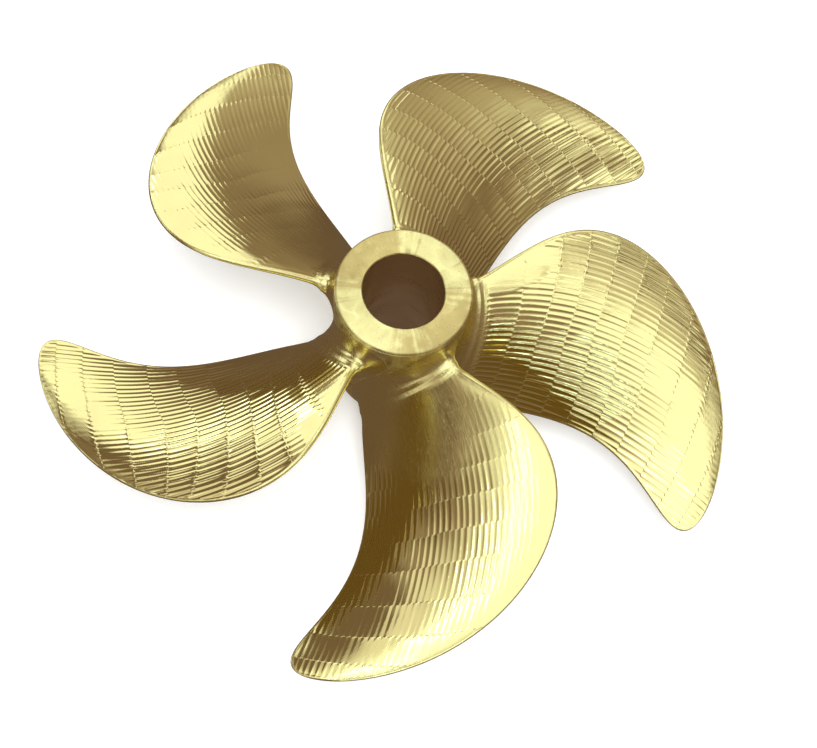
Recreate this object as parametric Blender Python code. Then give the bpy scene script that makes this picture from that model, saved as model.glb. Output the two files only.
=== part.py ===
"""Ship propeller: five skewed blades and a bored hub, cast in one piece.

Metres. +Z runs along the shaft axis towards the forward end, and the origin is on that axis
at the height of the centre of mass. +X points at the middle of one blade's root. The propeller
is right-handed: seen from astern it turns clockwise to drive the ship ahead.
"""

from math import atan, comb, cos, pi, radians, sin, sqrt, tan

import bmesh
import bpy
from mathutils import Vector

# Whole propeller
TIP_RADIUS = 1.200
BLADE_COUNT = 5
BLADE_HEIGHT = -0.046  # middle of the blade root above the centre of mass

# Hub, with heights measured from the middle of the blade root
FORWARD_FACE_HEIGHT = 0.302
HUB_LENGTH = 0.580
FORWARD_FACE_RADIUS = 0.225
AFT_FACE_RADIUS = 0.195
HUB_CROWN = 0.004  # how far the hub's side swells between its ends
RIM_ROUNDING = 0.010
HUB_SEGMENTS = 60
HUB_SIDE_ROWS = 8
RIM_ROWS = 3

# Bore: a parallel mouth at the forward end, then the cone that sits on the shaft
BORE_MOUTH_RADIUS = 0.134
BORE_MOUTH_DEPTH = 0.045
CONE_TAPER = 1 / 12  # of the diameter
BORE_CHAMFER = 0.003

# Blade curves: Bezier ordinates spread evenly from the root section to the tip
ROOT_SECTION_RADIUS = 0.240
CHORD = (0.462, 0.606, 0.942, 0.530)
TIP_POWER = 13  # how squarely the chord closes at the tip
SKEW_DEGREES = (0.0, 12.4, 15.9, 4.0, -19.2)
PITCH_OVER_DIAMETER = (0.89, 1.13, 1.04, 0.73)
RAKE = (0.000, 0.002, 0.031, 0.017)
THICKNESS = (0.086, 0.064, 0.036, 0.013)
EDGE_THICKNESS = 0.008
CAMBER_OVER_CHORD = 0.025
THICKEST_AT = 0.10  # along the section: -1 at the trailing edge, 1 at the leading edge
NOSE_POWER = 0.55
TAIL_POWER = 0.80
SMALLEST_CHORD = 1e-6  # keeps the formula finite at the very tip

# Root fillet, and how deep the root dives into the hub
FILLET_HEIGHT = 0.095
FILLET_SPREAD = 0.072
FILLET_END_DEGREES = 78
FILLET_ROWS = 5
DIVE_DEPTH = 0.004
ROOT_DEPTH = 0.028

# Rows and points of the blade's mesh
SECTION_POINTS = 32
BLADE_ROWS = 9
TIP_ROWS = 6
TIP_START_DEGREES = 26

BRONZE_COLOUR = (0.62, 0.47, 0.17, 1.0)
BRONZE_ROUGHNESS = 0.30
SHARP_DEGREES = 35


def clear_scene():
    for item in list(bpy.data.objects):
        bpy.data.objects.remove(item, do_unlink=True)


def bezier(share, ordinates):
    """The ordinate of a Bezier curve at this share of its length."""
    degree = len(ordinates) - 1
    return sum(
        comb(degree, i) * share**i * (1 - share) ** (degree - i) * value
        for i, value in enumerate(ordinates)
    )


def hub_side_radius(height):
    """Radius of the hub's side at this height above the middle of the blade root."""
    share = (FORWARD_FACE_HEIGHT - height) / HUB_LENGTH
    cone = FORWARD_FACE_RADIUS + share * (AFT_FACE_RADIUS - FORWARD_FACE_RADIUS)
    return cone + HUB_CROWN * 4 * share * (1 - share)


def rim_points(face_height, side):
    """The rounded rim of one hub face, from the side to the face. side is 1 forward, -1 aft."""
    start = face_height - side * RIM_ROUNDING
    centre = hub_side_radius(start) - RIM_ROUNDING
    turns = [radians(90) * i / RIM_ROWS for i in range(RIM_ROWS + 1)]
    return [(centre + RIM_ROUNDING * cos(a), start + side * RIM_ROUNDING * sin(a)) for a in turns]


def hub_profile():
    """The hub's cut face as (radius, height) points, round the ring once."""
    aft_height = FORWARD_FACE_HEIGHT - HUB_LENGTH
    cone_start = FORWARD_FACE_HEIGHT - BORE_MOUTH_DEPTH
    cone_end_radius = BORE_MOUTH_RADIUS - (HUB_LENGTH - BORE_MOUTH_DEPTH) * CONE_TAPER / 2
    top = FORWARD_FACE_HEIGHT - RIM_ROUNDING
    bottom = aft_height + RIM_ROUNDING
    side = []
    for i in range(1, HUB_SIDE_ROWS):
        height = top + (bottom - top) * i / HUB_SIDE_ROWS
        side.append((hub_side_radius(height), height))
    bore = [
        (cone_end_radius + BORE_CHAMFER, aft_height),
        (cone_end_radius, aft_height + BORE_CHAMFER),
        (BORE_MOUTH_RADIUS, cone_start),
        (BORE_MOUTH_RADIUS, FORWARD_FACE_HEIGHT - BORE_CHAMFER),
        (BORE_MOUTH_RADIUS + BORE_CHAMFER, FORWARD_FACE_HEIGHT),
    ]
    forward_rim = rim_points(FORWARD_FACE_HEIGHT, 1)
    return forward_rim[::-1] + side + rim_points(aft_height, -1) + bore


def make_object(name, mesh_in_code, material):
    mesh = bpy.data.meshes.new(name)
    mesh_in_code.to_mesh(mesh)
    mesh_in_code.free()
    mesh.materials.append(material)
    mesh.shade_smooth()
    mesh.set_sharp_from_angle(angle=radians(SHARP_DEGREES))
    made = bpy.data.objects.new(name, mesh)
    bpy.context.scene.collection.objects.link(made)
    return made


def make_hub(material):
    """The bored hub, turned from its profile about the shaft axis."""
    ring = bmesh.new()
    corners = [ring.verts.new((radius, 0, height)) for radius, height in hub_profile()]
    edges = [ring.edges.new((a, b)) for a, b in zip(corners, corners[1:] + corners[:1])]
    bmesh.ops.spin(
        ring,
        geom=corners + edges,
        cent=(0, 0, 0),
        axis=(0, 0, 1),
        angle=2 * pi,
        steps=HUB_SEGMENTS,
        use_merge=True,
    )
    bmesh.ops.recalc_face_normals(ring, faces=ring.faces)
    hub = make_object("propeller_casting", ring, material)
    hub.location.z = BLADE_HEIGHT
    return hub


def half_thickness(along, chord, thickness):
    """Half the section's thickness. along is -1 at the trailing edge and 1 at the leading edge."""
    edge = min(EDGE_THICKNESS, chord)
    plate = edge / 2 * sqrt(max(0.0, 1 - abs(along) ** (2 * chord / edge)))
    if along > THICKEST_AT:
        reach = (along - THICKEST_AT) / (1 - THICKEST_AT)
        power = NOSE_POWER
    else:
        reach = (THICKEST_AT - along) / (1 + THICKEST_AT)
        power = TAIL_POWER
    body = (thickness - edge) / 2 * max(0.0, 1 - reach**2) ** power
    return plate + body


def section_outline(radius):
    """The section as (along the chord, off the chord) points, from the leading edge round its back."""
    share = max(0.0, (radius - ROOT_SECTION_RADIUS) / (TIP_RADIUS - ROOT_SECTION_RADIUS))
    tip_share = min(1.0, radius / TIP_RADIUS)
    chord = bezier(share, CHORD) * sqrt(1 - tip_share**TIP_POWER)
    tip_rounding = sqrt(1 - tip_share ** (4 * TIP_RADIUS / EDGE_THICKNESS))
    thickness = bezier(share, THICKNESS)
    outline = []
    for i in range(SECTION_POINTS):
        turn = 2 * pi * i / SECTION_POINTS
        along = cos(turn)
        half = half_thickness(along, max(chord, SMALLEST_CHORD), thickness) * tip_rounding
        side = 1 if sin(turn) > 0 else -1
        camber = CAMBER_OVER_CHORD * chord * (1 - along**2)
        outline.append(Vector((along * chord / 2, camber + side * half)))
    return outline


def spread_outline(outline, spread):
    """The outline moved outwards by this much, square to its own line."""
    moved = []
    for i, point in enumerate(outline):
        run = outline[(i + 1) % len(outline)] - outline[i - 1]
        moved.append(point + spread * Vector((run.y, -run.x)).normalized())
    return moved


def on_blade(radius, point, height_above_hub=None):
    """Wraps a section point round the cylinder of this radius, where the blade stands."""
    share = max(0.0, (radius - ROOT_SECTION_RADIUS) / (TIP_RADIUS - ROOT_SECTION_RADIUS))
    pitch_angle = atan(bezier(share, PITCH_OVER_DIAMETER) * 2 * TIP_RADIUS / (2 * pi * radius))
    skew = radians(bezier(share, SKEW_DEGREES))
    arc = point.x * cos(pitch_angle) - point.y * sin(pitch_angle)
    rise = point.x * sin(pitch_angle) + point.y * cos(pitch_angle)
    height = radius * skew * tan(pitch_angle) + bezier(share, RAKE) + rise
    turn = skew + arc / radius
    if height_above_hub is not None:
        follow = 1 - max(0.0, height_above_hub) / FILLET_HEIGHT
        radius += (hub_side_radius(height) - hub_side_radius(0)) * follow
    return Vector((radius * cos(turn), radius * sin(turn), height))


def root_rows():
    """The rows from inside the hub up the fillet, as loops of points."""
    hub_radius = hub_side_radius(0)
    slope = radians(FILLET_END_DEGREES)
    end_height = FILLET_HEIGHT * (1 - sin(slope))
    end_spread = FILLET_SPREAD * (1 - cos(slope))
    run_on = (end_height + DIVE_DEPTH) * FILLET_SPREAD * tan(slope) / FILLET_HEIGHT
    steps = [(-ROOT_DEPTH, end_spread + run_on), (-DIVE_DEPTH, end_spread + run_on)]
    for i in range(FILLET_ROWS):
        turn = slope * (1 - i / FILLET_ROWS)
        steps.append((FILLET_HEIGHT * (1 - sin(turn)), FILLET_SPREAD * (1 - cos(turn))))
    rows = []
    for height, spread in steps:
        radius = hub_radius + height
        outline = spread_outline(section_outline(radius), spread)
        rows.append([on_blade(radius, point, height) for point in outline])
    return rows


def blade_radii():
    """The radii of the rows from the fillet's top to the last row below the tip."""
    start = hub_side_radius(0) + FILLET_HEIGHT
    tip_start = TIP_RADIUS * sin(radians(TIP_START_DEGREES)) ** (2 / TIP_POWER)
    radii = [start + (tip_start - start) * i / BLADE_ROWS for i in range(BLADE_ROWS)]
    for i in range(TIP_ROWS):
        turn = radians(TIP_START_DEGREES + (90 - TIP_START_DEGREES) * i / TIP_ROWS)
        radii.append(TIP_RADIUS * sin(turn) ** (2 / TIP_POWER))
    return radii


def make_blade_mesh(material):
    """One blade as a closed skin: rows of section loops, closed by a fan at each end."""
    rows = root_rows()
    for radius in blade_radii():
        rows.append([on_blade(radius, point) for point in section_outline(radius)])
    skin = bmesh.new()
    loops = [[skin.verts.new(point) for point in row] for row in rows]
    for lower, upper in zip(loops, loops[1:]):
        for i in range(SECTION_POINTS):
            j = (i + 1) % SECTION_POINTS
            skin.faces.new((lower[i], lower[j], upper[j], upper[i]))
    root = skin.verts.new(sum((v.co for v in loops[0]), Vector()) / SECTION_POINTS)
    tip = skin.verts.new(on_blade(TIP_RADIUS, Vector((0.0, 0.0))))
    for i in range(SECTION_POINTS):
        j = (i + 1) % SECTION_POINTS
        skin.faces.new((loops[0][j], loops[0][i], root))
        skin.faces.new((loops[-1][i], loops[-1][j], tip))
    bmesh.ops.recalc_face_normals(skin, faces=skin.faces)
    return make_object("blade_1", skin, material)


def join_blades(hub, first_blade):
    """Five turned copies of the blade, united with the hub into one casting."""
    for i in range(BLADE_COUNT):
        blade = first_blade
        if i:
            blade = bpy.data.objects.new(f"blade_{i + 1}", first_blade.data)
            bpy.context.scene.collection.objects.link(blade)
        blade.location.z = BLADE_HEIGHT
        blade.rotation_euler.z = 2 * pi * i / BLADE_COUNT
        blade.hide_render = True
        blade.display_type = "WIRE"
        union = hub.modifiers.new(f"join_{blade.name}", "BOOLEAN")
        union.operation = "UNION"
        union.object = blade


def make_bronze():
    bronze = bpy.data.materials.new("bronze")
    bronze.use_nodes = True
    shader = bronze.node_tree.nodes["Principled BSDF"]
    shader.inputs["Base Color"].default_value = BRONZE_COLOUR
    shader.inputs["Metallic"].default_value = 1.0
    shader.inputs["Roughness"].default_value = BRONZE_ROUGHNESS
    return bronze


def main():
    clear_scene()
    bronze = make_bronze()
    hub = make_hub(bronze)
    join_blades(hub, make_blade_mesh(bronze))


main()
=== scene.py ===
# %% [markdown]
# # A ship propeller in milled bronze
# This notebook dresses a ship propeller: five skewed blades and a bored hub, cast in one piece.
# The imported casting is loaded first, as a fixed frame. It has the right size but plain faces, and
# every piece made here is laid on the same formulas as the casting, so nothing has to be fitted.

# %% Load the casting
from math import comb, cos, hypot, pi, radians, sin, tan, tau

import bmesh
import bpy
import numpy as np
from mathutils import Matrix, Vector


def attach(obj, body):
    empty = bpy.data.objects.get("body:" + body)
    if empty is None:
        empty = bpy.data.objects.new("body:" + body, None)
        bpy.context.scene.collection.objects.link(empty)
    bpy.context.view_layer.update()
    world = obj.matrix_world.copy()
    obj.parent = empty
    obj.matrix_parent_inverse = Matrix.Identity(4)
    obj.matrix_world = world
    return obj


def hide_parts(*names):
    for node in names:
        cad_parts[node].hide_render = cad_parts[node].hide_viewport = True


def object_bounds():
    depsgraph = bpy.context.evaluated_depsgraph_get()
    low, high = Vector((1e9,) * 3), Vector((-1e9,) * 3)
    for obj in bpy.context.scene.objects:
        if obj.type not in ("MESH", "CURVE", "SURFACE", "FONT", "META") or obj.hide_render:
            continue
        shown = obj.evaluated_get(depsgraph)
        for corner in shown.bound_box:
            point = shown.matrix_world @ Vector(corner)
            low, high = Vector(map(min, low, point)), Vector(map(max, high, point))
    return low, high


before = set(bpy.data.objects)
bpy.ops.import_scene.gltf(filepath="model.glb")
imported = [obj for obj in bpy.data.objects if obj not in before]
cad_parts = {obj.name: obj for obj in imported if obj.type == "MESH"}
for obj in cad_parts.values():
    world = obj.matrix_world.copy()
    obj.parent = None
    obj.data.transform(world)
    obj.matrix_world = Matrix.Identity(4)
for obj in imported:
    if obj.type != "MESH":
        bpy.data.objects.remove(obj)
casting_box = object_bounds()
print("casting box", [[round(value, 4) for value in corner] for corner in casting_box])

# %% [markdown]
# ## Camera
# The photograph looks down on the forward end of the hub, about 24 degrees off the shaft axis. A
# camera could be placed by eye. Here its place, turn and lens come from a fit of the blade outlines
# and of the two ellipses of the hub's face, so the render can be laid over the photograph.

# %% Camera
CAMERA_PLACE = (-2.0556, -0.6996, 4.5926)
CAMERA_TURN_DEGREES = (23.033, -4.987, -61.571)
CAMERA_LENS = 66.54
SENSOR_WIDTH = 36.0


def put_in_scene(name, data):
    """A new object in the scene that holds this data."""
    made = bpy.data.objects.new(name, data)
    bpy.context.scene.collection.objects.link(made)
    return made


lens = bpy.data.cameras.new("photo_camera")
lens.lens = CAMERA_LENS
lens.sensor_width = SENSOR_WIDTH
camera = put_in_scene("photo_camera", lens)
camera.location = CAMERA_PLACE
camera.rotation_euler = [radians(angle) for angle in CAMERA_TURN_DEGREES]
bpy.context.scene.camera = camera
bpy.context.scene.view_settings.view_transform = "Standard"
print("camera", CAMERA_PLACE, "lens", CAMERA_LENS, "mm")

# %% [markdown]
# ## Floor
# The propeller stands on the small end of its hub, on a plain pale floor. The floor runs up into a
# round wall, as in a studio sweep, so that low views have no horizon. A bent plane would do for one
# view. Turning one line about the shaft axis gives a sweep that is the same from every side.

# %% Floor shape
FLOOR_HEIGHT = casting_box[0][2]
FLOOR_RADIUS = 11.0
WALL_HEIGHT = 9.0
WALL_BEND = 3.0
BEND_STEPS = 12
FLOOR_SEGMENTS = 96
MERGE_DISTANCE = 1e-6


def sweep_profile():
    """The sweep's cut line from the middle of the floor to the top of the wall."""
    line = [(0.0, 0.0), (FLOOR_RADIUS / 2, 0.0)]
    for i in range(BEND_STEPS + 1):
        turn = pi / 2 * i / BEND_STEPS
        line.append((FLOOR_RADIUS + WALL_BEND * sin(turn), WALL_BEND * (1 - cos(turn))))
    line.append((FLOOR_RADIUS + WALL_BEND, WALL_HEIGHT))
    return [(radius, FLOOR_HEIGHT + height) for radius, height in line]


def turned_mesh(name, profile, segments, closed):
    """A mesh turned about the shaft axis from (radius, height) points."""
    body = bmesh.new()
    corners = [body.verts.new((radius, 0, height)) for radius, height in profile]
    ends = corners[1:] + corners[:1] if closed else corners[1:]
    edges = [body.edges.new(pair) for pair in zip(corners, ends)]
    turn = dict(cent=(0, 0, 0), axis=(0, 0, 1), angle=tau, steps=segments, use_merge=True)
    bmesh.ops.spin(body, geom=corners + edges, **turn)
    bmesh.ops.remove_doubles(body, verts=body.verts, dist=MERGE_DISTANCE)
    bmesh.ops.recalc_face_normals(body, faces=body.faces)
    mesh = bpy.data.meshes.new(name)
    body.to_mesh(mesh)
    body.free()
    mesh.shade_smooth()
    return mesh


floor = put_in_scene("floor", turned_mesh("floor", sweep_profile(), FLOOR_SEGMENTS, closed=False))
print("floor at", round(FLOOR_HEIGHT, 3), "m, faces", len(floor.data.polygons))

# %% [markdown]
# The floor is matt and glows a little, which keeps it pale under a soft light. More lamps would do
# that too, but they would also light the metal. The floor is hidden from mirror reflections: it would
# fill the undersides with light that the photograph doesn't have. It casts no shadow either, because
# its round wall would shut out the surroundings.

# %% Floor paint
FLOOR_COLOUR = (0.86, 0.86, 0.85, 1.0)
FLOOR_ROUGHNESS = 0.9
FLOOR_GLOW = 0.30


def new_material(name):
    material = bpy.data.materials.new(name)
    material.use_nodes = True
    return material


def principled(material):
    return material.node_tree.nodes["Principled BSDF"]


floor_paint = new_material("pale_floor")
floor_shader = principled(floor_paint)
floor_shader.inputs["Base Color"].default_value = FLOOR_COLOUR
floor_shader.inputs["Roughness"].default_value = FLOOR_ROUGHNESS
floor_shader.inputs["Emission Color"].default_value = FLOOR_COLOUR
floor_shader.inputs["Emission Strength"].default_value = FLOOR_GLOW
floor.data.materials.append(floor_paint)
floor.visible_glossy = False
floor.visible_shadow = False
print("floor glow", FLOOR_GLOW)

# %% [markdown]
# ## Surroundings
# Polished metal shows its surroundings more than its own colour, so the light is designed as
# surroundings. Lamps alone would leave black reflections between them. The photograph's highlights
# were traced back to where they come from, and the world is painted with them, by direction. Its
# nodes can be wired by hand in the node editor. In a script, small helpers keep that readable: one
# adds a node, one links or fills a socket, and one tells how far a vector reaches along an axis.

# %% Sky direction
UP = (0, 0, 1)


def node(tree, kind, **settings):
    made = tree.nodes.new(kind)
    for key, value in settings.items():
        setattr(made, key, value)
    return made


def feed(tree, socket, value):
    """Links a socket to a value that is itself a socket, or else writes the value into it."""
    if isinstance(value, bpy.types.NodeSocket):
        tree.links.new(value, socket)
    else:
        socket.default_value = value


def along(tree, vector, axis):
    """How far a vector socket reaches along an axis."""
    made = node(tree, "ShaderNodeVectorMath", operation="DOT_PRODUCT")
    feed(tree, made.inputs[0], vector)
    feed(tree, made.inputs[1], axis)
    return made.outputs["Value"]


world = bpy.data.worlds.new("studio")
world.use_nodes = True
bpy.context.scene.world = world
sky = world.node_tree
sky_direction = node(sky, "ShaderNodeTexCoord").outputs["Generated"]
sky_height = along(sky, sky_direction, UP)
print("sky nodes", [made.name for made in sky.nodes])

# %% [markdown]
# The walls and the ceiling are one gradient by height: dim and brown low down, a bright band half
# way up, a dimmer one above it and a bright middle of the ceiling. A picture of a real hall could be
# wrapped round the scene instead. A colour ramp has nothing in it that the metal shouldn't show.

# %% Walls
WALL_LEVELS = (  # sine of the height, brightness
    (-1.00, 0.10),
    (-0.20, 0.10),
    (0.10, 0.20),
    (0.26, 0.20),
    (0.42, 0.34),
    (0.57, 0.42),
    (0.71, 1.20),
    (0.82, 1.00),
    (0.88, 0.55),
    (1.00, 1.20),
)
TINT_POWERS = (0.845, 1.035, 1.18)  # of red, green and blue


def tinted(level):
    """The colour of a wall this bright: the darker it is, the browner."""
    return (*(level**power for power in TINT_POWERS), 1.0)


def spread_range(tree, value, low, high, new_low=0.0, new_high=1.0, curve="LINEAR"):
    """The value carried from one range to another and held inside it."""
    made = node(tree, "ShaderNodeMapRange", interpolation_type=curve)
    ends = {"Value": value, "From Min": low, "From Max": high, "To Min": new_low, "To Max": new_high}
    for name, end in ends.items():
        feed(tree, made.inputs[name], end)
    return made.outputs["Result"]


def ramp(tree, share, stops):
    """A colour ramp read at share, from 0 to 1. stops are (place, colour)."""
    made = node(tree, "ShaderNodeValToRGB")
    feed(tree, made.inputs["Fac"], share)
    steps = made.color_ramp.elements
    while len(steps) < len(stops):
        steps.new(1.0)
    for step, (place, colour) in zip(steps, stops):
        step.position = place
        step.color = colour
    return made.outputs["Color"]


wall_stops = [((sine + 1) / 2, tinted(level)) for sine, level in WALL_LEVELS]
surroundings = ramp(sky, spread_range(sky, sky_height, -1.0, 1.0), wall_stops)
print("wall colours", len(wall_stops))

# %% [markdown]
# Windows, doors and dark stretches of wall are flat panels. They could be glowing planes, but each
# would have to be hidden from the camera, so they are painted on the world too. A panel is square to
# the line from the propeller to its middle. A direction hits it where its sideways and upward parts,
# divided by its forward part, stay inside the panel. A soft edge keeps it from looking cut out.

# %% Panel shape
NEAREST = 0.001


def calculate(tree, operation, *values):
    """The result of one Math node."""
    made = node(tree, "ShaderNodeMath", operation=operation)
    for socket, value in zip(made.inputs, values):
        feed(tree, socket, value)
    return made.outputs[0]


def inside(reach, half_angle, edge):
    """1 inside a panel's half width or height and 0 outside, with a soft edge."""
    inner = tan(radians(half_angle)) - tan(radians(edge))
    outer = tan(radians(half_angle)) + tan(radians(edge))
    return spread_range(sky, reach, inner, outer, 1.0, 0.0, "SMOOTHSTEP")


def panel_share(azimuth, height, half_width, half_height, edge):
    """1 where a direction hits the panel. All five values are angles in degrees."""
    turn = radians(azimuth)
    ahead = Vector((cos(turn), sin(turn), tan(radians(height)))).normalized()
    side = Vector((-sin(turn), cos(turn), 0.0))
    forward = calculate(sky, "MAXIMUM", along(sky, sky_direction, ahead), NEAREST)
    shares = []
    for axis, half_angle in ((side, half_width), (ahead.cross(side), half_height)):
        reach = calculate(sky, "ABSOLUTE", along(sky, sky_direction, axis))
        reach = calculate(sky, "DIVIDE", reach, forward)
        shares.append(inside(reach, half_angle, edge))
    return calculate(sky, "MULTIPLY", *shares)


print("a panel 45 degrees to each side reaches", round(tan(radians(45)), 2), "of its distance")

# %% [markdown]
# Each bright streak on the metal needs something bright in the direction that it mirrors, and each
# dark one something dark. The panels are mixed over the walls one after the other, so a later one
# covers an earlier one.

# %% Panels
PANELS = (  # compass angle, height, half width, half height, soft edge in degrees, brightness
    ("dark wall behind", 78, 43, 38, 17, 11, 0.22),
    ("dark wall beside the viewer", 203, 35, 23, 13, 12, 0.20),
    ("dim wall", 340, 60, 18, 20, 7, 0.32),
    ("high pale wall", 100, 60, 7, 18, 6, 0.85),
    ("skylight", 190, 76, 27, 20, 4, 1.25),
    ("door", 259, 40, 18, 11.5, 3, 1.50),
    ("window", 53, 31, 32.5, 17, 3.5, 1.15),
    ("wall beside the window", 82, 27, 11, 22, 2.5, 0.13),
    ("door post", 280, 43, 6, 15.5, 5.5, 0.16),
    ("wall beside the door", 304, 32, 5, 22, 2.5, 0.17),
    ("door curtain", 251, 43, 7, 9.5, 2.5, 0.70),
    ("low dark wall", 119, 15, 12, 18, 4, 0.10),
    ("low window", 97, 10, 15.5, 9, 3, 1.30),
    ("high window", 335, 57, 10.5, 12, 2.5, 1.15),
    ("pale crate", 161, 9, 14, 14, 2.5, 0.70),
    ("ceiling light over the hub", 19, 66, 12, 9, 5, 1.60),
    ("pale wall to the right", 345, 5, 20, 20, 8, 0.27),
    ("tube lamp beside the viewer", 200, 38, 13, 1.0, 0.8, 3.7),
    ("tube lamp in the skylight", 150, 66, 13, 1.0, 0.8, 4.2),
    ("bulb in the window", 57, 19, 2.5, 2.5, 1.5, 3.6),
)


def mix(tree, share, first, second):
    """A mix of two colours, each a socket or a value."""
    made = node(tree, "ShaderNodeMix", data_type="RGBA")
    wanted = {"Factor": share, "A": first, "B": second}
    for socket in made.inputs:
        if socket.enabled and socket.name in wanted:
            feed(tree, socket, wanted[socket.name])
    return [socket for socket in made.outputs if socket.enabled][0]


for _, *angles, level in PANELS:
    surroundings = mix(sky, panel_share(*angles), surroundings, tinted(level))
feed(sky, sky.nodes["Background"].inputs["Color"], surroundings)
print("panels:", ", ".join(panel[0] for panel in PANELS))

# %% [markdown]
# The floor needs more light than the metal. One large lamp hangs over it and gives the soft shadow
# under the blades. A small lamp would draw a hard one. It is hidden from reflections, where it would
# be one more bright window.

# %% Floor lamp
LAMP_PLACE = (-1.5, -1.0, 7.0)
LAMP_WIDTH = 6.0
LAMP_POWER = 520.0

lamp_light = bpy.data.lights.new("ceiling_lamp", "AREA")
lamp_light.shape = "DISK"
lamp_light.size = LAMP_WIDTH
lamp_light.energy = LAMP_POWER
lamp = put_in_scene("ceiling_lamp", lamp_light)
lamp.location = LAMP_PLACE
lamp.rotation_euler = Vector(LAMP_PLACE).to_track_quat("Z", "Y").to_euler()
lamp.visible_glossy = False
print("lamp", LAMP_POWER, "W")

# %% [markdown]
# ## Blade form
# A propeller blade is drawn as sections: a wing-like outline wrapped round a cylinder about the
# shaft. Each section has a chord, a thickness, a pitch angle, a skew round the shaft and a rake
# along it. A blade could be bent and sculpted from a plane, but it wouldn't meet the casting. Here
# each of these sizes is one smooth curve from root to tip, with the casting's own values.

# %% Blade curves
TIP_RADIUS = 1.200
BLADE_COUNT = 5
BLADE_HEIGHT = -0.046
ROOT_SECTION_RADIUS = 0.240
CHORD = (0.462, 0.606, 0.942, 0.530)
TIP_POWER = 13
SKEW_DEGREES = (0.0, 12.4, 15.9, 4.0, -19.2)
PITCH_OVER_DIAMETER = (0.89, 1.13, 1.04, 0.73)
RAKE = (0.000, 0.002, 0.031, 0.017)
THICKNESS = (0.086, 0.064, 0.036, 0.013)
SMALLEST_CHORD = 1e-5


def bezier(share, ordinates):
    """The ordinates of a Bezier curve at these shares of its length."""
    degree = len(ordinates) - 1
    weights = [comb(degree, i) * share**i * (1 - share) ** (degree - i) for i in range(degree + 1)]
    return sum(weight * ordinate for weight, ordinate in zip(weights, ordinates))


def span_share(radius):
    return np.maximum(0.0, (radius - ROOT_SECTION_RADIUS) / (TIP_RADIUS - ROOT_SECTION_RADIUS))


def tip_share(radius):
    return np.minimum(1.0, radius / TIP_RADIUS)


def chord_at(radius):
    closing = np.sqrt(1 - tip_share(radius) ** TIP_POWER)
    return np.maximum(SMALLEST_CHORD, bezier(span_share(radius), CHORD) * closing)


print("chord at 0.7 of the tip radius", round(float(chord_at(0.7 * TIP_RADIUS)), 3), "m")

# %% [markdown]
# A section is cast as a thin plate with rounded edges and a fuller body over it, thickest a little
# ahead of the middle. A listed wing outline would be made of many numbers. Two powers, one for the
# nose and one for the tail, are enough for this one. Wrapping turns the section by its pitch angle
# and lays it round its cylinder.

# %% Blade sections
EDGE_THICKNESS = 0.008
THICKEST_AT = 0.10
NOSE_POWER = 0.55
TAIL_POWER = 0.80


def half_thickness(radius, place):
    """Half the section's thickness. place is -1 at the trailing edge and 1 at the leading edge."""
    chord = chord_at(radius)
    edge = np.minimum(EDGE_THICKNESS, chord)
    plate = edge / 2 * np.sqrt(np.maximum(0.0, 1 - np.abs(place) ** (2 * chord / edge)))
    ahead = place > THICKEST_AT
    reach = np.abs(place - THICKEST_AT) / np.where(ahead, 1 - THICKEST_AT, 1 + THICKEST_AT)
    power = np.where(ahead, NOSE_POWER, TAIL_POWER)
    fullness = np.maximum(0.0, 1 - reach**2) ** power
    body = (bezier(span_share(radius), THICKNESS) - edge) / 2 * fullness
    return (plate + body) * np.sqrt(1 - tip_share(radius) ** (4 * TIP_RADIUS / EDGE_THICKNESS))


def wrap_section(radius, run, offset):
    """Turn round the shaft and height of points that lie run along the chord and offset from it."""
    share = span_share(radius)
    pitch_angle = np.arctan(bezier(share, PITCH_OVER_DIAMETER) * 2 * TIP_RADIUS / (tau * radius))
    skew = np.radians(bezier(share, SKEW_DEGREES))
    arc = run * np.cos(pitch_angle) - offset * np.sin(pitch_angle)
    rise = run * np.sin(pitch_angle) + offset * np.cos(pitch_angle)
    height = radius * skew * np.tan(pitch_angle) + bezier(share, RAKE) + rise
    return skew + arc / radius, height


thickness = 2 * float(half_thickness(0.7 * TIP_RADIUS, THICKEST_AT))
print("thickness at 0.7 of the tip radius", round(1000 * thickness, 1), "mm")

# %% [markdown]
# ## Milled strips
# The blades were finished on a milling machine. A round cutter ran outwards in courses about 0.1 m
# long and stepped 20 mm sideways after each run, so it left shallow hollow strips with sharp ridges
# between them. A bump texture could fake this, but the ridges catch the light along their edges, so
# the depth is worked out for each point and moved in the mesh. The strips lean back near the root
# and forward near the tip, and they fan out a little: both are curves along the blade.

# %% Strips across a blade
STRIP_WIDTH = 0.020
STRIP_DEPTHS = (0.0015, 0.0006, 0.0014, 0.0008, 0.0013)  # of each blade
STRIP_LEAN = (-0.15, -0.74, 0.00, -0.05, 1.95)
STRIP_FAN = (1.11, 0.99, 0.93, 0.90, 1.05)
JOINT_SHIFT = 0.32  # of a strip, from each course to the next


def strip_drift(radius):
    """How far the strips have drifted along the section: their lean summed up from the root."""
    summed = np.cumsum((0.0, *STRIP_LEAN)) / len(STRIP_LEAN)
    return (TIP_RADIUS - ROOT_SECTION_RADIUS) * bezier(span_share(radius), summed)


def strip_count(course, radius, across):
    """Where a point lies in the row of strips of its course, and the middle of its strip."""
    fan = bezier(span_share(radius), STRIP_FAN)
    count = (across * fan - strip_drift(radius)) / STRIP_WIDTH + JOINT_SHIFT * course
    middle = np.floor(count) + 0.5 - JOINT_SHIFT * course
    return count, (middle * STRIP_WIDTH + strip_drift(radius)) / fan


print("strips", round(STRIP_WIDTH * 1000), "mm wide, about", max(STRIP_DEPTHS) * 1000, "mm deep at most")

# %% [markdown]
# The joints between the courses lie on arcs round the shaft on the trailing half of a blade and climb
# towards the leading edge. Each strip ends at its own height there, which gives the stepped joints.
# A height map painted by hand could hold them. Formulas are sharper, and they also tell the mesh
# where its rows should run.

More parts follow.
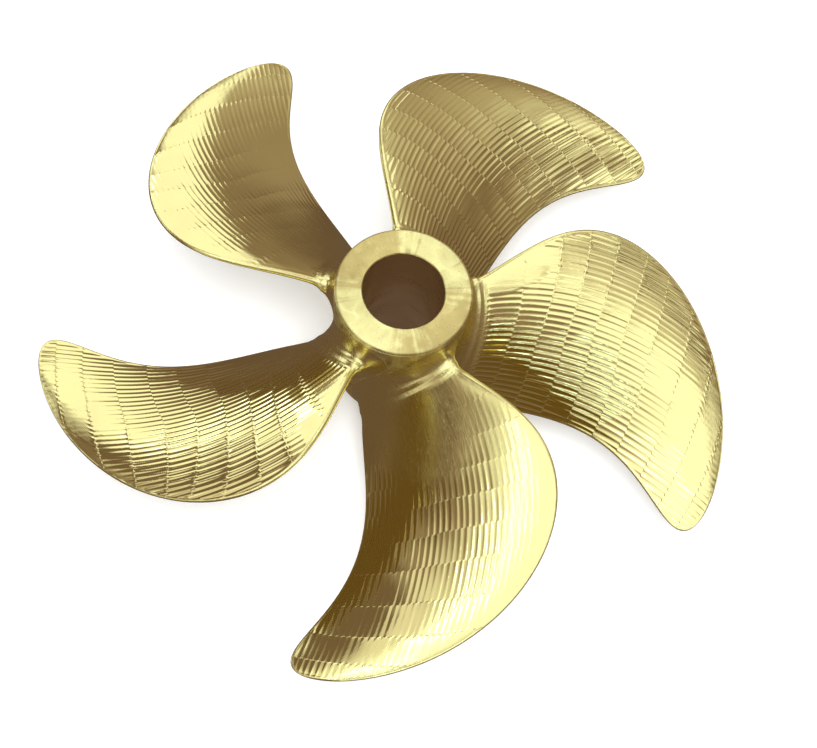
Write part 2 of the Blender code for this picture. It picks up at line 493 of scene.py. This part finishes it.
# %% Courses along a blade
COURSE_EDGES = (0.272, 0.373, 0.466, 0.560, 0.650, 0.749, 0.846, 0.954, 1.055, 1.143, 1.240)
COURSE_RISE = 0.095
RISE_START = -0.05
RISE_RUN = 0.22
RISE_POWER = 1.3
RISE_END_RADIUS = 1.12
RISE_FADE = 0.42
ROOT_FADE_START = 0.308
ROOT_FADE = 0.10
SHORTEST_COURSE = 0.001


def course_rise(level, across, steepness):
    """How far a course line at this level has climbed at this distance across the blade."""
    climb = np.maximum(0.0, (across - RISE_START) / RISE_RUN) ** RISE_POWER
    tip_fade = np.clip((RISE_END_RADIUS - level) / RISE_FADE, 0.0, 1.0)
    root_fade = np.clip((level - ROOT_FADE_START) / ROOT_FADE, 0.0, 1.0)
    return steepness * COURSE_RISE * climb * tip_fade * root_fade


def course_at(radius, across, steepness):
    """The course that each point lies in, and how far along it the point lies, from 0 to 1."""
    course = np.zeros(radius.shape, int)
    start = np.full_like(radius, COURSE_EDGES[0])
    end = start
    for number, edge in enumerate(COURSE_EDGES[1:]):
        _, strip_middle = strip_count(course, radius, across)
        line = edge + course_rise(edge, strip_middle, steepness)
        end = np.where(course == number, line, end)
        beyond = (course == number) & (radius > line)
        start = np.where(beyond, line, start)
        course = course + beyond
    share = (radius - start) / np.maximum(SHORTEST_COURSE, end - start)
    return course, np.clip(share, 0.0, 1.0)


print("courses", len(COURSE_EDGES) - 1)

# %% [markdown]
# Along a course the cutter swings and leans a little, so each course is also a very shallow dish and
# its strips twist. No two strips are quite alike: the blade flexed under the cutter and the cutter
# wore. Sculpting each one would take days, so each gets a random depth and tilt. The random numbers
# are seeded, which makes them the same in each render.

# %% Milled depth
COURSE_DEPTHS = (0.0006, 0.0008, 0.0006, 0.0006, 0.0006)  # of each blade
STRIP_TWISTS = (0.0, 0.0007, 0.0002, 0.0001, 0.0003)  # of each blade
COURSE_LOW_POINT = 0.42
FIRST_SEED = 100
STRIPS_COUNTED = 90
DEPTH_SCATTER = 0.30
TILT_SCATTER = 0.00016


def course_dish(share):
    """Depth of a course's dish at each share of its length: 1 at its low point, 0 at its ends."""
    before = 1 - share / COURSE_LOW_POINT
    after = (share - COURSE_LOW_POINT) / (1 - COURSE_LOW_POINT)
    return 1 - np.where(share < COURSE_LOW_POINT, before, after) ** 2


def milled_depth(radius, across, blade_number, steepness):
    """How deep the cutter went at each point, and where the point lies in the row of strips."""
    chance = np.random.default_rng(FIRST_SEED + blade_number)
    uneven = chance.uniform(-1, 1, (len(COURSE_EDGES), STRIPS_COUNTED, 2))
    course, share = course_at(radius, across, steepness)
    count, _ = strip_count(course, radius, across)
    strip = np.floor(count).astype(int)
    within = 2 * (count - strip) - 1
    luck = uneven[course, strip % STRIPS_COUNTED]
    dish = COURSE_DEPTHS[blade_number] * course_dish(share)
    hollow = STRIP_DEPTHS[blade_number] * (1 + DEPTH_SCATTER * luck[..., 0]) * (1 - within**2)
    twist = STRIP_TWISTS[blade_number] * (0.5 - share) + TILT_SCATTER * luck[..., 1]
    return dish + hollow + twist * within, count


deepest = max(STRIP_DEPTHS) * (1 + DEPTH_SCATTER) + max(COURSE_DEPTHS)
print("deepest cut under", round(1000 * deepest, 1), "mm")

# %% [markdown]
# Some places were worked over by hand with a grinder afterwards: the edges, the root, and a few
# patches on single blades where the strips are almost gone. They could be brushed onto the mesh as a
# mask. Distances from the edges and a few soft ovals do the same, and can be moved by a number.

# %% Ground places
EDGE_LAND = (0.014 / 3, 0.014)
ROOT_LAND = (0.288, 0.296)
TIP_LAND = (0.002, 0.012)
GROUND_PATCHES = {  # blade counted from 0: across, radius, half width, half length, share ground away
    1: ((-0.10, 0.40, 0.25, 0.17, 0.70),),
    3: ((-0.02, 0.30, 0.20, 0.25, 1.00), (0.29, 0.66, 0.12, 0.36, 0.45)),
    4: ((0.215, 0.38, 0.035, 0.100, 0.80),),
}
PATCH_BLEND = 0.35


def soft(value, low, high):
    """0 below low, 1 above high and a smooth step between them."""
    share = np.clip((value - low) / (high - low), 0.0, 1.0)
    return share * share * (3 - 2 * share)


def milled_share(radius, across, blade_number):
    """1 where the strips are whole and 0 where the blade is ground smooth."""
    share = soft(chord_at(radius) / 2 - np.abs(across), *EDGE_LAND)
    share = share * soft(radius, *ROOT_LAND) * soft(TIP_RADIUS - radius, *TIP_LAND)
    for middle, level, wide, long, away in GROUND_PATCHES.get(blade_number, ()):
        off = np.hypot((across - middle) / wide, (radius - level) / long)
        share = share * (1 - away * soft(-off, -1 - PATCH_BLEND, -1))
    return share


print("patches ground by hand", sum(len(patches) for patches in GROUND_PATCHES.values()))

# %% [markdown]
# ## Hub shape
# The hub is turned on a lathe: a slightly tapered barrel with rounded rims, a fine groove under the
# forward rim, and a bore that is parallel at its mouth and conical behind it. Cylinders cut by
# boolean tools would do, but they leave long thin faces. Turning one profile about the axis makes
# even ones, and is how the real hub is made. The side is drawn first.

# %% Hub side
FORWARD_FACE_HEIGHT = 0.302
HUB_LENGTH = 0.580
AFT_FACE_HEIGHT = FORWARD_FACE_HEIGHT - HUB_LENGTH
FORWARD_FACE_RADIUS = 0.225
AFT_FACE_RADIUS = 0.195
HUB_CROWN = 0.004
RIM_ROUNDING = 0.010
RIM_STEPS = 8
SIDE_STEPS = 24
GROOVE_DROP = 0.014
GROOVE_HALF_WIDTH = 0.0025
GROOVE_DEPTH = 0.003


def hub_side_radius(height):
    """Radius of the hub's side at this height above the middle of the blade root."""
    share = (FORWARD_FACE_HEIGHT - height) / HUB_LENGTH
    cone = FORWARD_FACE_RADIUS + share * (AFT_FACE_RADIUS - FORWARD_FACE_RADIUS)
    return cone + HUB_CROWN * 4 * share * (1 - share)


def rim_points(face_height, side):
    """The rounded rim from the hub's side to a face. side is 1 at the forward face and -1 aft."""
    start = face_height - side * RIM_ROUNDING
    centre = hub_side_radius(start) - RIM_ROUNDING
    turns = [pi / 2 * i / RIM_STEPS for i in range(RIM_STEPS + 1)]
    return [(centre + RIM_ROUNDING * cos(a), start + side * RIM_ROUNDING * sin(a)) for a in turns]


def side_points():
    """The hub's side from the forward rim down to the aft rim, with the groove cut in."""
    groove = FORWARD_FACE_HEIGHT - GROOVE_DROP
    heights = (groove + GROOVE_HALF_WIDTH, groove, groove - GROOVE_HALF_WIDTH)
    cuts = (0.0, GROOVE_DEPTH, 0.0)
    points = [(hub_side_radius(height) - cut, height) for height, cut in zip(heights, cuts)]
    ends = (FORWARD_FACE_HEIGHT - RIM_ROUNDING, AFT_FACE_HEIGHT + RIM_ROUNDING)
    below = np.linspace(*ends, SIDE_STEPS + 1)[1:-1].tolist()
    return points + [(hub_side_radius(height), height) for height in below]


print("hub side has", len(side_points()), "points")

# %% [markdown]
# The profile goes once round the cut face: down the side, in to the bore, up through it and out to
# the forward rim. Two points would do for a straight stretch, but long faces take the light badly,
# so the stretches are split into short ones.

# %% Hub profile
BORE_MOUTH_RADIUS = 0.134
BORE_MOUTH_DEPTH = 0.045
CONE_TAPER = 1 / 12
BORE_CHAMFER = 0.003
BORE_STEP = 0.030


def straight(start, end, steps):
    """Points from start up to end, without end."""
    return [tuple(a + (b - a) * i / steps for a, b in zip(start, end)) for i in range(steps)]


def bore_points(aft_rim_end, forward_rim_start):
    """From the aft rim in to the bore, up through it and out to the forward rim."""
    cone_end = BORE_MOUTH_RADIUS - (HUB_LENGTH - BORE_MOUTH_DEPTH) * CONE_TAPER / 2
    corners = (
        aft_rim_end,
        (cone_end + BORE_CHAMFER, AFT_FACE_HEIGHT),
        (cone_end, AFT_FACE_HEIGHT + BORE_CHAMFER),
        (BORE_MOUTH_RADIUS, FORWARD_FACE_HEIGHT - BORE_MOUTH_DEPTH),
        (BORE_MOUTH_RADIUS, FORWARD_FACE_HEIGHT - BORE_CHAMFER),
        (BORE_MOUTH_RADIUS + BORE_CHAMFER, FORWARD_FACE_HEIGHT),
        forward_rim_start,
    )
    points = []
    for start, end in zip(corners, corners[1:]):
        run = max(abs(a - b) for a, b in zip(start, end))
        points += straight(start, end, max(1, round(run / BORE_STEP)))
    return points[1:]


def hub_profile():
    """The hub's cut face as (radius, height) points, round the ring once."""
    forward_rim = rim_points(FORWARD_FACE_HEIGHT, 1)[::-1]
    aft_rim = rim_points(AFT_FACE_HEIGHT, -1)
    return forward_rim + side_points() + aft_rim + bore_points(aft_rim[-1], forward_rim[0])


print("hub profile has", len(hub_profile()), "points")

# %% [markdown]
# ## Blade mesh
# One blade is a closed skin: loops of points round each section, joined from the root to the tip. A
# finely divided box could be shrunk onto the casting, but its edges would cross the strips and blunt
# their ridges. Here the columns lie closer together at the rounded edges of the blade.

# %% Columns
FORWARD_COLUMNS = 236
AFT_COLUMNS = 112
EDGE_COLUMNS = 8
EDGE_BAND = 0.016
EDGE_BAND_SHARE = 0.2
CAMBER_OVER_CHORD = 0.025


def column_places(chord, columns):
    """Places across a section from the leading edge, 1, to the trailing edge, -1."""
    band = np.minimum(EDGE_BAND, EDGE_BAND_SHARE * chord)[:, None] * 2 / chord[:, None]
    edge = np.linspace(0, 1, EDGE_COLUMNS + 1)[None, :] ** 2
    middle = np.linspace(1, -1, columns - 2 * EDGE_COLUMNS + 1)[None, 1:-1]
    return np.concatenate([1 - band * edge, middle * (1 - band), -1 + band * edge[:, ::-1]], axis=1)


def loop_places(chord):
    """Places of a whole loop: over the forward side and back over the aft side."""
    ahead = column_places(chord, FORWARD_COLUMNS)
    behind = column_places(chord, AFT_COLUMNS)
    return np.concatenate([ahead, -behind[:, 1:-1]], axis=1)


def section_grid(radius, places):
    """Run and offset of the loop of points round each section."""
    chord = chord_at(radius)
    side = np.ones(places.shape[1])
    side[FORWARD_COLUMNS:] = -1
    camber = CAMBER_OVER_CHORD * chord * (1 - places**2)
    return places * chord / 2, camber + side * half_thickness(radius, places)


print("points in a loop", loop_places(chord_at(np.array([TIP_RADIUS / 2]))).shape[1])

# %% [markdown]
# The rows follow the course lines and lie closer together at each joint, so that the steps there stay
# crisp, and at the tip, where the chord closes fast. Evenly spaced rows would need many times the
# triangles for the same joints. How far a row climbs depends on the chord at its own radius, so its
# radius is settled in a few rounds.

# %% Rows
FILLET_HEIGHT = 0.095
ROW_STEP = 0.0058
JOINT_ROWS = (-0.0050, -0.0032, -0.0016, -0.0003, 0.0003, 0.0016, 0.0032, 0.0050)
JOINT_CLEARANCE = 0.001
JOINT_MARGIN = 0.010
TIP_START_DEGREES = 26.0
TIP_END_DEGREES = 88.6
TIP_ROWS = 46
TIP_GAP = 1e-5
SETTLING_ROUNDS = 6


def tip_level(degrees):
    """Level of a row near the tip. Even steps in degrees bring the rows closer and closer."""
    return TIP_RADIUS * sin(radians(degrees)) ** (2 / TIP_POWER)


def row_levels():
    """Levels of the rows above the fillet, closer together at each joint between courses."""
    start = hub_side_radius(0) + FILLET_HEIGHT
    plain = np.arange(start, tip_level(TIP_START_DEGREES), ROW_STEP).tolist()
    plain += [tip_level(angle) for angle in np.linspace(TIP_START_DEGREES, TIP_END_DEGREES, TIP_ROWS)]
    ends = (start + JOINT_MARGIN, TIP_RADIUS - JOINT_MARGIN)
    joints = [edge for edge in COURSE_EDGES if ends[0] < edge < ends[1]]
    reach = JOINT_ROWS[-1] + JOINT_CLEARANCE
    kept = [level for level in plain if all(abs(level - joint) > reach for joint in joints)]
    return np.array(sorted(kept + [joint + step for joint in joints for step in JOINT_ROWS]))


def blade_rows(steepness):
    """Radius, run and offset of the points above the fillet."""
    levels = row_levels()
    places = loop_places(chord_at(levels))
    radius = np.repeat(levels[:, None], FORWARD_COLUMNS + AFT_COLUMNS, axis=1)
    for _ in range(SETTLING_ROUNDS):
        run = places * chord_at(radius) / 2
        radius = levels[:, None] + course_rise(levels[:, None], run, steepness)
        radius = np.minimum(radius, TIP_RADIUS - TIP_GAP)
    return radius, *section_grid(radius, places)


print("rows above the fillet", len(row_levels()))

# %% [markdown]
# Where a blade meets the hub, the casting has a wide hollow fillet, ground by hand, and the grinder
# left a low ridge half way up it. A bevel can't be made between two separate curved pieces. So the
# lowest rows of the skin flare out along a quarter of an ellipse and end inside the hub's wall.

# %% Root fillet
FILLET_SPREAD = 0.072
FILLET_END_DEGREES = 86.0
FILLET_ROWS = 40
DIVE_DEPTH = 0.003
DIVE_SPREAD = 0.004
ROOT_DEPTH = 0.028
RIDGE_REACH = 0.050
RIDGE_HALF_WIDTH = 0.016
RIDGE_HEIGHT = 0.0030


def fillet_steps():
    """How far each root row lies above the hub's side, and how far it is spread from the blade."""
    slope = radians(FILLET_END_DEGREES)
    buried = FILLET_SPREAD * (1 - cos(slope)) + DIVE_SPREAD
    steps = [(-ROOT_DEPTH, buried), (-DIVE_DEPTH, buried)]
    for i in range(FILLET_ROWS):
        turn = slope * (1 - i / FILLET_ROWS)
        steps.append((FILLET_HEIGHT * (1 - sin(turn)), FILLET_SPREAD * (1 - cos(turn))))
    return np.array(steps).T[:, :, None]


def fillet_rows(up, spread):
    """Radius, run and offset of the root rows, from inside the hub up to the fillet's end."""
    radius = np.repeat(hub_side_radius(0) + up, FORWARD_COLUMNS + AFT_COLUMNS, axis=1)
    run, offset = section_grid(radius, loop_places(chord_at(radius[:, 0])))
    along_run = np.roll(run, -1, axis=1) - np.roll(run, 1, axis=1)
    along_offset = np.roll(offset, -1, axis=1) - np.roll(offset, 1, axis=1)
    length = np.hypot(along_run, along_offset)
    return radius, run + spread * along_offset / length, offset - spread * along_run / length


def grinding_ridge(up):
    """Height of the low ridge that the grinder left half way up the fillet."""
    return RIDGE_HEIGHT * np.maximum(0.0, 1 - np.abs(up - RIDGE_REACH) / RIDGE_HALF_WIDTH)


print("root rows", fillet_steps().shape[1], "and a ridge of", RIDGE_HEIGHT * 1000, "mm")

# %% [markdown]
# The points of a blade are now put together. The strips are cut in along the surface's own normals:
# a displace modifier would do the same, but needs its depths as a texture. Each blade was set up on
# the machine by itself, so its courses climb at their own slope.

# %% Blade points
COURSE_SLOPES = (0.40, 1.00, 1.05, 0.45, 0.65)  # of each blade
SHORTEST_NORMAL = 1e-12


def surface_normals(points):
    """Unit normals of a grid of points whose rows run from root to tip and close round the section."""
    out = np.gradient(points, axis=0)
    round_section = np.roll(points, -1, axis=1) - np.roll(points, 1, axis=1)
    normal = np.cross(round_section, out)
    return normal / np.maximum(SHORTEST_NORMAL, np.linalg.norm(normal, axis=2, keepdims=True))


def unmilled_blade(number):
    """The casting's own surface, with the radius and run of its points and the root rows' heights."""
    up, spread = fillet_steps()
    parts = zip(fillet_rows(up, spread), blade_rows(COURSE_SLOPES[number]))
    radius, run, offset = (np.concatenate(pair) for pair in parts)
    turn, height = wrap_section(radius, run, offset)
    turn = turn + tau * number / BLADE_COUNT
    root = slice(len(up))
    ring = radius.copy()
    follow = 1 - np.maximum(0.0, up) / FILLET_HEIGHT
    ring[root] += (hub_side_radius(height[root]) - hub_side_radius(0)) * follow
    points = np.stack([ring * np.cos(turn), ring * np.sin(turn), height + BLADE_HEIGHT], axis=2)
    return points, radius, run, up


def blade_grid(number):
    """The blade's points with its strips cut in, and the strip count, radius and milled share."""
    points, radius, run, up = unmilled_blade(number)
    depth, count = milled_depth(radius, run, number, COURSE_SLOPES[number])
    milled = milled_share(radius, run, number)
    outwards = -depth * milled
    outwards[: len(up)] += grinding_ridge(up)
    return points + surface_normals(points) * outwards[:, :, None], count, radius, milled


print("rows and columns of a blade", unmilled_blade(0)[0].shape[:2])

# %% [markdown]
# The grid becomes one closed skin: four-sided faces between its rows, and a fan of triangles at each
# end. Two things are stored with the mesh for the finish. The UV map holds each point's place on its
# strip, and the attribute "milled" how far it is milled. A painted mask would do, but its pixels
# would show.

# %% Blade pieces
def skin_faces(rows, columns):
    """Quads between neighbouring rows, closed round the section, and a fan at each end."""
    index = np.arange(rows * columns).reshape(rows, columns)
    across = np.roll(index, -1, axis=1)
    quads = np.stack([index[:-1], across[:-1], across[1:], index[1:]], axis=-1).reshape(-1, 4)
    root, tip = rows * columns, rows * columns + 1
    fans = [(int(b), int(a), root) for a, b in zip(index[0], across[0])]
    fans += [(int(a), int(b), tip) for a, b in zip(index[-1], across[-1])]
    return quads.tolist() + fans


def store_finish(mesh, count, radius, milled):
    """Stores each point's place on its strip and how far it is milled, the two fans' points last."""
    places = np.stack([count.ravel() * STRIP_WIDTH, radius.ravel()], axis=1)
    places = np.concatenate([places, places[:1], places[-1:]])
    corner = np.empty(len(mesh.loops), int)
    mesh.loops.foreach_get("vertex_index", corner)
    strips = mesh.uv_layers.new(name="strips")
    strips.data.foreach_set("uv", places[corner].ravel())
    shares = mesh.attributes.new("milled", "FLOAT", "POINT")
    shares.data.foreach_set("value", np.concatenate([milled.ravel(), [0.0, 0.0]]))


def make_blade(number):
    points, *finish = blade_grid(number)
    ends = [points[0].mean(axis=0), points[-1].mean(axis=0)]
    vertices = np.concatenate([points.reshape(-1, 3), ends])
    name = f"blade_{number + 1}"
    mesh = bpy.data.meshes.new(name)
    mesh.from_pydata(vertices.tolist(), [], skin_faces(*points.shape[:2]))
    store_finish(mesh, *finish)
    mesh.shade_smooth()
    return put_in_scene(name, mesh)


blades = [make_blade(number) for number in range(BLADE_COUNT)]
print("triangles in a blade", sum(len(face.vertices) - 2 for face in blades[0].data.polygons))

# %% [markdown]
# ## Hub
# The hub's profile is turned about the shaft axis with the same helper as the floor. Smooth shading
# rounds off every corner, so the edges of the flat faces and of the bore are marked sharp again. A
# bevel modifier with hardened normals could do that too, but the rims are already in the profile.

# %% Hub piece
SHARP_DEGREES = 25
HUB_SEGMENTS = 288

hub = put_in_scene("hub", turned_mesh("hub", hub_profile(), HUB_SEGMENTS, closed=True))
hub.data.set_sharp_from_angle(angle=radians(SHARP_DEGREES))
hub.location.z = BLADE_HEIGHT
print("triangles in the hub", sum(len(face.vertices) - 2 for face in hub.data.polygons))

# %% [markdown]
# ## Bronze
# Nickel-aluminium bronze is a yellow metal that reflects blue poorly, so its base colour is a strong
# yellow and its mirror images turn gold. Air and hands leave a few duller clouds and small brown
# spots. They could be painted on a picture, but a noise has no seams and stays sharp up close.

# %% Bronze colour
BRONZE_COLOUR = (0.93, 0.85, 0.37, 1.0)
DULL_BRONZE_COLOUR = (0.80, 0.62, 0.30, 1.0)
CLOUDS = {"scale": 5.0, "detail": 6.0, "distortion": 0.4}
CLOUD_LIMITS = (0.45, 0.75, 0.30)  # noise at their rim and in their middle, and how dull they get
SPOTS = {"scale": 160.0, "detail": 2.0}
SPOT_LIMITS = (0.66, 0.74, 0.45)


def noise(tree, vector, scale=1.0, detail=3.0, distortion=0.0):
    made = node(tree, "ShaderNodeTexNoise")
    wanted = {"Vector": vector, "Scale": scale, "Detail": detail, "Distortion": distortion}
    for name, value in wanted.items():
        feed(tree, made.inputs[name], value)
    return made.outputs["Fac"]


def blotches(tree, place, pattern, rim, middle, strength):
    """Blotches where a noise pattern is high: 0 up to their rim, and their strength in the middle."""
    return spread_range(tree, noise(tree, place, **pattern), rim, middle, 0.0, strength)


def bronze_colour(tree, place):
    """Yellow bronze with a few duller, browner clouds and spots."""
    clouds = blotches(tree, place, CLOUDS, *CLOUD_LIMITS)
    spots = blotches(tree, place, SPOTS, *SPOT_LIMITS)
    return mix(tree, calculate(tree, "MAXIMUM", clouds, spots), BRONZE_COLOUR, DULL_BRONZE_COLOUR)


print("bronze", BRONZE_COLOUR[:3], "and dull bronze", DULL_BRONZE_COLOUR[:3])

# %% [markdown]
# On the milled strips the metal is nearly a mirror, with fine scratches along each cutter run. On the
# ground places it is a little duller, with coarser marks that run out along the blade. These could be
# two materials, but they fade into each other inside a blade. So it is one material, and the value
# "milled" that was stored with the mesh says which is where.

# %% Milled and ground bronze
MILLED_ROUGHNESS = (0.05, 0.12)
GROUND_ROUGHNESS = (0.14, 0.28)
CUTTER_MARKS = (330.0, 9.0, 1.0)  # across and along a strip, per metre
CUTTER_MARK_HEIGHT = 0.00008
GRINDER_MARKS = (130.0, 24.0, 1.0)
GRINDER_GRAIN = {"detail": 4.0, "distortion": 1.2}
GRINDER_MARK_HEIGHT = 0.00055
NOISE_REACH = (0.3, 0.7)  # most values of a noise lie between these


def stretched(tree, vector, scales):
    """A place socket multiplied along each axis."""
    made = node(tree, "ShaderNodeVectorMath", operation="MULTIPLY")
    feed(tree, made.inputs[0], vector)
    feed(tree, made.inputs[1], scales)
    return made.outputs["Vector"]


def varied(tree, pattern, low, high):
    """A value that follows a noise pattern from low to high."""
    return spread_range(tree, pattern, *NOISE_REACH, low, high)


def raised(tree, shader, height):
    """Bumps a shader's normal by a height socket in metres."""
    bump = node(tree, "ShaderNodeBump")
    feed(tree, bump.inputs["Height"], height)
    feed(tree, bump.inputs["Distance"], 1.0)
    feed(tree, shader.inputs["Normal"], bump.outputs["Normal"])


def make_milled_bronze():
    material = new_material("milled_bronze")
    tree = material.node_tree
    shader = principled(material)
    shader.inputs["Metallic"].default_value = 1.0
    place = node(tree, "ShaderNodeTexCoord").outputs["Object"]
    feed(tree, shader.inputs["Base Color"], bronze_colour(tree, place))
    strips = node(tree, "ShaderNodeUVMap", uv_map="strips").outputs["UV"]
    cutter = noise(tree, stretched(tree, strips, CUTTER_MARKS))
    grinder = noise(tree, stretched(tree, strips, GRINDER_MARKS), **GRINDER_GRAIN)
    milled = node(tree, "ShaderNodeAttribute", attribute_name="milled").outputs["Fac"]
    roughness = (varied(tree, grinder, *GROUND_ROUGHNESS), varied(tree, cutter, *MILLED_ROUGHNESS))
    feed(tree, shader.inputs["Roughness"], spread_range(tree, milled, 0.0, 1.0, *roughness))
    grinder_height = calculate(tree, "MULTIPLY", grinder, GRINDER_MARK_HEIGHT)
    cutter_height = calculate(tree, "MULTIPLY", cutter, CUTTER_MARK_HEIGHT)
    raised(tree, shader, spread_range(tree, milled, 0.0, 1.0, grinder_height, cutter_height))
    return material


milled_bronze = make_milled_bronze()
for blade in blades:
    blade.data.materials.append(milled_bronze)
print("milled bronze on", len(blades), "blades")

# %% [markdown]
# The hub was turned on a lathe, which leaves fine rings round the shaft axis. Such rings smear each
# highlight across them, so the forward face shows bright and dark sectors like a fan. Every ring
# could be a bump, but rings finer than a pixel only make noise. The shader's own anisotropy does the
# smearing, with its direction taken round the axis, and a weak bump adds a few deeper rings.

# %% Turned rings
ANISOTROPY = 0.85
ACROSS_RINGS = 0.25  # of a full turn
RING_GRAIN = {"scale": 260.0, "detail": 2.0}
RING_MARK_HEIGHT = 0.00018


def away_from_axis(tree, place):
    """The direction from the shaft axis straight out to a place."""
    made = node(tree, "ShaderNodeVectorMath", operation="NORMALIZE")
    feed(tree, made.inputs[0], stretched(tree, place, (1.0, 1.0, 0.0)))
    return made.outputs["Vector"]


def ring_marks(tree, place, outwards):
    """A noise that changes only outwards and along the axis, so that its marks are rings."""
    flat = node(tree, "ShaderNodeCombineXYZ")
    feed(tree, flat.inputs["X"], along(tree, place, outwards))
    feed(tree, flat.inputs["Y"], along(tree, place, UP))
    return noise(tree, flat.outputs["Vector"], **RING_GRAIN)


print("deeper rings about", round(1000 / RING_GRAIN["scale"]), "mm apart")

# %% [markdown]
# The hub's turned faces are darkened by a brown painted shade, which stands in for the dark sectors
# of their reflection. It is left off along one line through the axis, in rays that run outwards and in
# blots, as a painted highlight for the bright sectors, and small dark pits from the casting go on top.
# A picture would repeat itself sooner or later. Noise in the direction from the axis gives the rays,
# and noise in the place gives the blots.

# %% Painted shade and highlight, and pits
# A painted highlight is left along this line through the axis, and painted shade lies elsewhere.
HIGHLIGHT_ANGLE = radians(165)
HIGHLIGHT_DIRECTION = (cos(HIGHLIGHT_ANGLE), sin(HIGHLIGHT_ANGLE), 0.0)
HIGHLIGHT_LIMITS = (0.15, 0.85)
HIGHLIGHT_SCATTER = 0.3
RAYS = {"scale": 11.0, "detail": 4.0}
BLOTS = {"scale": 24.0, "detail": 5.0}
# colour of the brown painted shade, and how much of it lies where no painted highlight is
PAINTED_SHADE_COLOUR = (0.60, 0.46, 0.17, 1.0)
PAINTED_SHADE_SHARE = 0.90
PIT_COLOUR = (0.20, 0.13, 0.06, 1.0)
PITS = {"scale": 210.0, "detail": 2.0}
PIT_LIMITS = (0.68, 0.76, 0.90)


def colour_with_painted_light(tree, place, outwards):
    """Bronze under a brown painted shade, left off along a painted highlight line, with the pits on top.
    """
    facing = along(tree, outwards, HIGHLIGHT_DIRECTION)
    highlight = calculate(tree, "MULTIPLY", facing, facing)
    for patches in (noise(tree, outwards, **RAYS), noise(tree, place, **BLOTS)):
        highlight = calculate(tree, "ADD", highlight, varied(tree, patches, -HIGHLIGHT_SCATTER, HIGHLIGHT_SCATTER))
    # painted shade over the hub, left off where the painted highlight is
    shade = spread_range(tree, highlight, *HIGHLIGHT_LIMITS, PAINTED_SHADE_SHARE, 0.0, "SMOOTHSTEP")
    colour = mix(tree, shade, bronze_colour(tree, place), PAINTED_SHADE_COLOUR)
    return mix(tree, blotches(tree, place, PITS, *PIT_LIMITS), colour, PIT_COLOUR)


# colour of the brown painted shade
print("film colour", PAINTED_SHADE_COLOUR[:3])

# %% [markdown]
# The turned bronze puts these together. Its roughness varies in wide soft stains, because a face that
# is equally dull everywhere looks like plastic. A painted roughness map would do, but a noise needs
# no picture.

# %% Turned bronze
TURNED_ROUGHNESS = (0.22, 0.42)
STAINS = {"scale": 18.0, "detail": 5.0, "distortion": 0.6}


def make_turned_bronze():
    material = new_material("turned_bronze")
    tree = material.node_tree
    shader = principled(material)
    shader.inputs["Metallic"].default_value = 1.0
    shader.inputs["Anisotropic"].default_value = ANISOTROPY
    shader.inputs["Anisotropic Rotation"].default_value = ACROSS_RINGS
    round_axis = node(tree, "ShaderNodeTangent", direction_type="RADIAL", axis="Z")
    feed(tree, shader.inputs["Tangent"], round_axis.outputs["Tangent"])
    place = node(tree, "ShaderNodeTexCoord").outputs["Object"]
    outwards = away_from_axis(tree, place)
    # the hub's base colour carries the painted shade and the painted highlight line
    feed(tree, shader.inputs["Base Color"], colour_with_painted_light(tree, place, outwards))
    stains = noise(tree, place, **STAINS)
    feed(tree, shader.inputs["Roughness"], varied(tree, stains, *TURNED_ROUGHNESS))
    cuts = ring_marks(tree, place, outwards)
    raised(tree, shader, calculate(tree, "MULTIPLY", cuts, RING_MARK_HEIGHT))
    return material


hub.data.materials.append(make_turned_bronze())
print("turned bronze on the hub")

# %% [markdown]
# The bore is lapped smooth to sit on the shaft, and keeps a little oil. It is less yellow than the
# rest, with soft smears that run round the axis. The bore could be a piece of its own, but it is the
# same metal. A second material on the hub's inner faces is enough.

# %% Lapped bore
BORE_COLOUR = (0.84, 0.74, 0.52, 1.0)
BORE_SMEAR_COLOUR = (0.70, 0.60, 0.40, 1.0)
BORE_ROUGHNESS = (0.20, 0.30)
SMEARS = (6.0, 6.0, 20.0)
SMEAR_GRAIN = {"detail": 4.0, "distortion": 0.3}
SMEAR_LIMITS = (0.35, 0.70)
LAPPED_INDEX = 1


def make_lapped_bronze():
    material = new_material("lapped_bronze")
    tree = material.node_tree
    shader = principled(material)
    shader.inputs["Metallic"].default_value = 1.0
    place = node(tree, "ShaderNodeTexCoord").outputs["Object"]
    smears = noise(tree, stretched(tree, place, SMEARS), **SMEAR_GRAIN)
    share = spread_range(tree, smears, *SMEAR_LIMITS)
    feed(tree, shader.inputs["Base Color"], mix(tree, share, BORE_COLOUR, BORE_SMEAR_COLOUR))
    feed(tree, shader.inputs["Roughness"], varied(tree, smears, *BORE_ROUGHNESS))
    return material


hub.data.materials.append(make_lapped_bronze())
bore_faces = [face for face in hub.data.polygons if hypot(*face.center.xy) < BORE_MOUTH_RADIUS]
for face in bore_faces:
    face.material_index = LAPPED_INDEX
print("lapped bronze on", len(bore_faces), "faces")

# %% [markdown]
# ## Frame
# The real propeller is one casting, so every piece rides on the casting's body and stands for it.
# The pieces could be joined into one mesh, but apart they can still be looked at one by one.

# %% Tie the pieces to the casting
for piece in [hub, *blades]:
    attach(piece, "root")
    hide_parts("propeller_casting")
